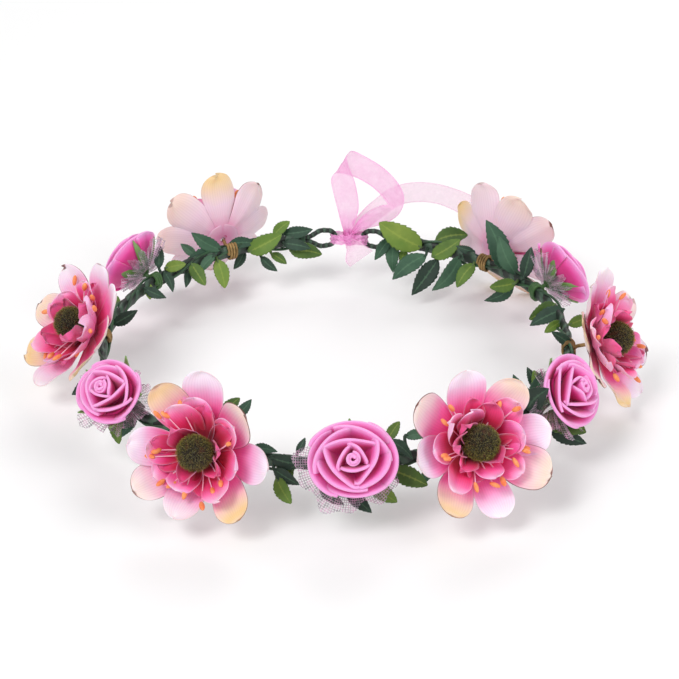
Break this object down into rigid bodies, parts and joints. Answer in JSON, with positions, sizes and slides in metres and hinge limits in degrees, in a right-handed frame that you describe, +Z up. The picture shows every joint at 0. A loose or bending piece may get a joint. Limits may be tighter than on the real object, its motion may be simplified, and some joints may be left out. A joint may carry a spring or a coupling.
{
  "type": "flower crown",
  "caption": "Tape-wrapped wire head band with silk flowers, foam roses, net, leaf sprigs and a ribbon tie at the back.",
  "frame": {"origin": "centre of the head opening, on the surface the crown rests on", "axes": "+Z up along the head opening's axis, -Y towards the front rose, +X to the wearer's left as seen from the front (right in a front view)"},
  "size_m": [0.247, 0.2352, 0.0571],
  "materials": {
    "petal_outer": "matt printed polyester, pale lilac rim over pink",
    "petal_middle": "matt printed polyester, pink",
    "petal_inner": "matt printed polyester, deep pink",
    "stamen": "moulded, orange tips",
    "flock": "moss flock on foam",
    "foam_rose": "matt polyethylene foam",
    "stem": "paper-covered wire",
    "calyx": "moulded green",
    "tape": "waxed paper tape, near-black green",
    "wire": "drawn",
    "leaf_dark": "printed fabric leaf",
    "leaf_light": "printed fabric leaf",
    "net": "fine silver-pink net",
    "ribbon": "sheer organza"
  },
  "bodies": {
    "front": {"band_tape_front": "tape", "band_core_front": "wire", "flower_stems_front": "stem", "rose_calyxes_front": "calyx", "tulle_front": "net", "dark_leaves_front": "leaf_dark", "light_leaves_front": "leaf_light", "rose_front": "foam_rose", "ribbon_knot": "ribbon", "ribbon_bow_and_tails": "ribbon"},
    "left_arm": {"band_tape_left": "tape", "band_core_left": "wire", "flower_stems_left": "stem", "rose_calyxes_left": "calyx", "tulle_left": "net", "dark_leaves_left": "leaf_dark", "light_leaves_left": "leaf_light", "rose_left_front": "foam_rose", "rose_left_back": "foam_rose", "ribbon_strand_left": "ribbon"},
    "right_arm": {"band_tape_right": "tape", "band_core_right": "wire", "flower_stems_right": "stem", "rose_calyxes_right": "calyx", "tulle_right": "net", "dark_leaves_right": "leaf_dark", "light_leaves_right": "leaf_light", "rose_right_front": "foam_rose", "rose_right_back": "foam_rose", "ribbon_strand_right": "ribbon"},
    "flower_front_left": {"flower_front_left_outer_petals": "petal_outer", "flower_front_left_middle_petals": "petal_middle", "flower_front_left_inner_petals": "petal_inner", "flower_front_left_stamens": "stamen", "flower_front_left_centre": "flock"},
    "flower_front_right": {"flower_front_right_outer_petals": "petal_outer", "flower_front_right_middle_petals": "petal_middle", "flower_front_right_inner_petals": "petal_inner", "flower_front_right_stamens": "stamen", "flower_front_right_centre": "flock"},
    "flower_right": {"flower_right_outer_petals": "petal_outer", "flower_right_middle_petals": "petal_middle", "flower_right_inner_petals": "petal_inner", "flower_right_stamens": "stamen", "flower_right_centre": "flock"},
    "flower_back_right": {"flower_back_right_outer_petals": "petal_outer", "flower_back_right_middle_petals": "petal_middle", "flower_back_right_inner_petals": "petal_inner", "flower_back_right_stamens": "stamen", "flower_back_right_centre": "flock"},
    "flower_back_left": {"flower_back_left_outer_petals": "petal_outer", "flower_back_left_middle_petals": "petal_middle", "flower_back_left_inner_petals": "petal_inner", "flower_back_left_stamens": "stamen", "flower_back_left_centre": "flock"},
    "flower_left": {"flower_left_outer_petals": "petal_outer", "flower_left_middle_petals": "petal_middle", "flower_left_inner_petals": "petal_inner", "flower_left_stamens": "stamen", "flower_left_centre": "flock"}
  },
  "joints": [
    {"name": "left_arm_flex", "type": "hinge", "parent": "front", "child": "left_arm", "pos_m": [-0.06448, -0.06562, 0.0219], "axis": [0, 0, 1], "range_deg": [-0.5, 4], "deforming": ["ribbon_strand_left"]},
    {"name": "right_arm_flex", "type": "hinge", "parent": "front", "child": "right_arm", "pos_m": [0.06096, -0.0689, 0.0219], "axis": [0, 0, 1], "range_deg": [-4, 0.5], "deforming": ["ribbon_strand_right"]},
    {"name": "flower_front_left_spin", "type": "hinge", "parent": "front", "child": "flower_front_left", "pos_m": [-0.04697, -0.0893, 0.02628], "axis": [-0.3074, -0.8446, 0.4384], "continuous": true},
    {"name": "flower_front_right_spin", "type": "hinge", "parent": "front", "child": "flower_front_right", "pos_m": [0.04779, -0.08878, 0.02746], "axis": [0.3039, -0.7917, 0.5299], "continuous": true},
    {"name": "flower_right_spin", "type": "hinge", "parent": "right_arm", "child": "flower_right", "pos_m": [0.10068, -0.0137, 0.02637], "axis": [0.8346, -0.3716, 0.4067], "continuous": true},
    {"name": "flower_back_right_spin", "type": "hinge", "parent": "right_arm", "child": "flower_back_right", "pos_m": [0.06889, 0.07279, 0.02381], "axis": [0.5864, 0.7782, 0.225], "continuous": true},
    {"name": "flower_back_left_spin", "type": "hinge", "parent": "left_arm", "child": "flower_back_left", "pos_m": [-0.04838, 0.08787, 0.02367], "axis": [-0.4441, 0.8715, 0.2079], "continuous": true},
    {"name": "flower_left_spin", "type": "hinge", "parent": "left_arm", "child": "flower_left", "pos_m": [-0.09706, 0.00026, 0.02652], "axis": [-0.6824, -0.394, 0.6157], "continuous": true}
  ],
  "couplings": [
    {"joint": "right_arm_flex", "follows": "left_arm_flex", "ratio": -1}
  ]
}
